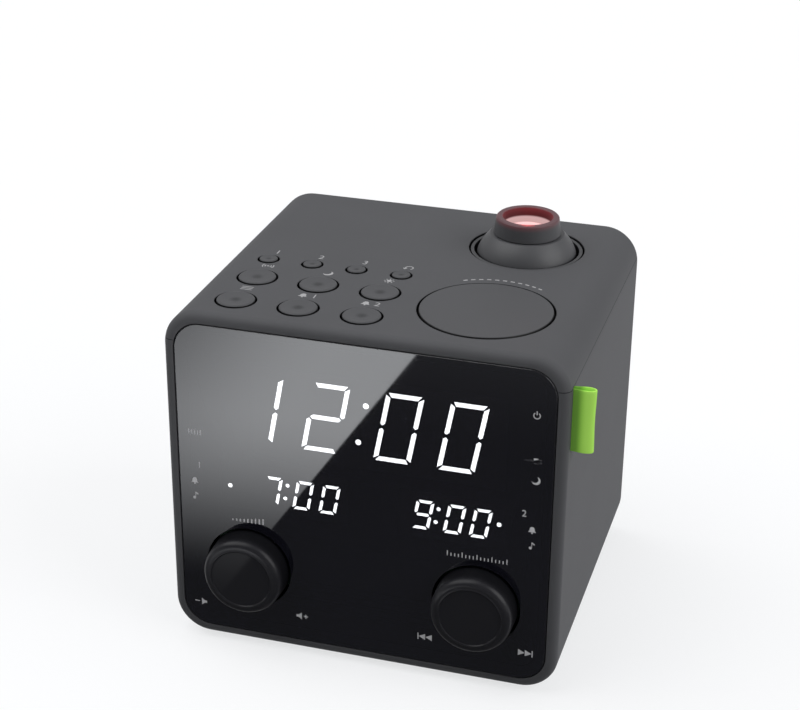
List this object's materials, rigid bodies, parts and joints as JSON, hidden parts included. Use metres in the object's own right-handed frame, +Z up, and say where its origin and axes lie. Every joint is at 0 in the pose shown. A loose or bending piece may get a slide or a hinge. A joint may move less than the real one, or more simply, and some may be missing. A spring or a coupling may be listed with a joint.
{
  "type": "projection alarm clock",
  "caption": "Cube-shaped clock radio with a smoked front display, two knobs, keys and a snooze plate on top, and a swivelling, focusing time projector.",
  "frame": {"origin": "centre of the bounding box at the plane of the feet", "axes": "+Z up, +X to the right and -Y towards the front, seen from the front panel"},
  "size_m": [0.137, 0.1228, 0.1306],
  "materials": {
    "case_plastic": "fine matt texture, mid-dark grey",
    "key_plastic": "fine matt texture, mid-dark grey",
    "panel_acrylic": "smoked, polished",
    "black_plastic": "matt black",
    "knob_plastic": "satin black",
    "lit_segment": "white diffuser, lit",
    "circuit_board": "green solder mask",
    "tin_plate": "tinned",
    "steel": "zinc plated",
    "component_black": "moulded",
    "lens_clear": "polished",
    "red_lamp": "clear red",
    "rubber": "soft matt",
    "tab_fabric": "woven, satin",
    "speaker_paper": "paper pulp",
    "magnet": "ferrite",
    "cable_sheath": "flat flexible cable",
    "cell_wrap": "plain sleeve"
  },
  "bodies": {
    "case": {"upper_housing": "case_plastic", "lower_housing": "case_plastic", "rear_cover": "case_plastic", "rubber_feet": "rubber", "rear_cover_screws": "steel", "backup_cells": "cell_wrap", "battery_contacts": "steel", "front_lens": "panel_acrylic", "display_carrier": "black_plastic", "time_display": "component_black", "alarm_one_display": "component_black", "alarm_two_display": "component_black", "time_segments": "lit_segment", "alarm_one_segments": "lit_segment", "alarm_two_segments": "lit_segment", "front_board": "circuit_board", "volume_encoder": "tin_plate", "tuning_encoder": "tin_plate", "key_board": "circuit_board", "tact_switches": "component_black", "turntable_retainer": "black_plastic", "speaker_basket": "tin_plate", "speaker_cone": "speaker_paper", "speaker_magnet": "magnet", "main_board": "circuit_board", "dc_jack": "component_black", "aerial_grommet": "rubber", "tuner_can": "tin_plate", "capacitors": "component_black", "board_chips": "component_black", "inner_screws": "steel", "display_ribbon": "cable_sheath", "key_ribbon": "cable_sheath", "speaker_leads": "cable_sheath", "side_tab": "tab_fabric"},
    "volume_knob": {"volume_knob": "knob_plastic", "volume_shaft": "steel"},
    "tuning_knob": {"tuning_knob": "knob_plastic", "tuning_shaft": "steel"},
    "projector_turntable": {"projector_turntable": "black_plastic"},
    "projector_head": {"projector_head": "case_plastic", "lcd_slide": "lens_clear", "condenser_lens": "lens_clear", "projector_lamp": "red_lamp", "lamp_board": "circuit_board"},
    "focus_ring": {"focus_ring": "case_plastic"},
    "lens_cell": {"lens_cell": "black_plastic", "projection_lens": "lens_clear"},
    "battery_door": {"battery_door": "case_plastic"},
    "source_key": {"source_key": "key_plastic"},
    "alarm_one_key": {"alarm_one_key": "key_plastic"},
    "alarm_two_key": {"alarm_two_key": "key_plastic"},
    "radio_key": {"radio_key": "key_plastic"},
    "nap_key": {"nap_key": "key_plastic"},
    "dimmer_key": {"dimmer_key": "key_plastic"},
    "preset_key_1": {"preset_key_1": "key_plastic"},
    "preset_key_2": {"preset_key_2": "key_plastic"},
    "preset_key_3": {"preset_key_3": "key_plastic"},
    "rotate_key": {"rotate_key": "key_plastic"},
    "snooze_key": {"snooze_key": "key_plastic"}
  },
  "joints": [
    {"name": "volume_turn", "type": "hinge", "parent": "case", "child": "volume_knob", "pos_m": [-0.0417, -0.0534, 0.0303], "axis": [0, 1, 0], "continuous": true},
    {"name": "tuning_turn", "type": "hinge", "parent": "case", "child": "tuning_knob", "pos_m": [0.0347, -0.0534, 0.0303], "axis": [0, 1, 0], "continuous": true},
    {"name": "source_press", "type": "slide", "parent": "case", "child": "source_key", "axis": [0, 0, -1], "range_m": [0, 0.0008], "stiffness_N_per_m": 900, "springref_m": -0.0004},
    {"name": "alarm_one_press", "type": "slide", "parent": "case", "child": "alarm_one_key", "axis": [0, 0, -1], "range_m": [0, 0.0008], "stiffness_N_per_m": 900, "springref_m": -0.0004},
    {"name": "alarm_two_press", "type": "slide", "parent": "case", "child": "alarm_two_key", "axis": [0, 0, -1], "range_m": [0, 0.0008], "stiffness_N_per_m": 900, "springref_m": -0.0004},
    {"name": "radio_press", "type": "slide", "parent": "case", "child": "radio_key", "axis": [0, 0, -1], "range_m": [0, 0.0008], "stiffness_N_per_m": 900, "springref_m": -0.0004},
    {"name": "nap_press", "type": "slide", "parent": "case", "child": "nap_key", "axis": [0, 0, -1], "range_m": [0, 0.0008], "stiffness_N_per_m": 900, "springref_m": -0.0004},
    {"name": "dimmer_press", "type": "slide", "parent": "case", "child": "dimmer_key", "axis": [0, 0, -1], "range_m": [0, 0.0008], "stiffness_N_per_m": 900, "springref_m": -0.0004},
    {"name": "preset_press_1", "type": "slide", "parent": "case", "child": "preset_key_1", "axis": [0, 0, -1], "range_m": [0, 0.0008], "stiffness_N_per_m": 900, "springref_m": -0.0004},
    {"name": "preset_press_2", "type": "slide", "parent": "case", "child": "preset_key_2", "axis": [0, 0, -1], "range_m": [0, 0.0008], "stiffness_N_per_m": 900, "springref_m": -0.0004},
    {"name": "preset_press_3", "type": "slide", "parent": "case", "child": "preset_key_3", "axis": [0, 0, -1], "range_m": [0, 0.0008], "stiffness_N_per_m": 900, "springref_m": -0.0004},
    {"name": "rotate_press", "type": "slide", "parent": "case", "child": "rotate_key", "axis": [0, 0, -1], "range_m": [0, 0.0008], "stiffness_N_per_m": 900, "springref_m": -0.0004},
    {"name": "snooze_press", "type": "slide", "parent": "case", "child": "snooze_key", "axis": [0, 0, -1], "range_m": [0, 0.0012], "stiffness_N_per_m": 900, "springref_m": -0.0004},
    {"name": "projector_swivel", "type": "hinge", "parent": "case", "child": "projector_turntable", "pos_m": [0.0283, 0.0306, 0.113], "axis": [0, 0, 1], "range_deg": [-90, 90]},
    {"name": "projector_tilt", "type": "hinge", "parent": "projector_turntable", "child": "projector_head", "pos_m": [0.0283, 0.0306, 0.113], "axis": [1, 0, 0], "range_deg": [-12, 12]},
    {"name": "focus_turn", "type": "hinge", "parent": "projector_head", "child": "focus_ring", "pos_m": [0.0283, 0.0306, 0.119], "axis": [0, 0, 1], "range_deg": [-60, 60]},
    {"name": "lens_focus", "type": "slide", "parent": "projector_head", "child": "lens_cell", "axis": [0, 0, 1], "range_m": [-0.00075, 0.00075]},
    {"name": "battery_door_swing", "type": "hinge", "parent": "case", "child": "battery_door", "pos_m": [-0.0035, -0.0111, 0.002], "axis": [-1, 0, 0], "range_deg": [0, 75]}
  ],
  "couplings": [
    {"joint": "focus_turn", "follows": "lens_focus", "rad_per_m": 1396.3}
  ]
}
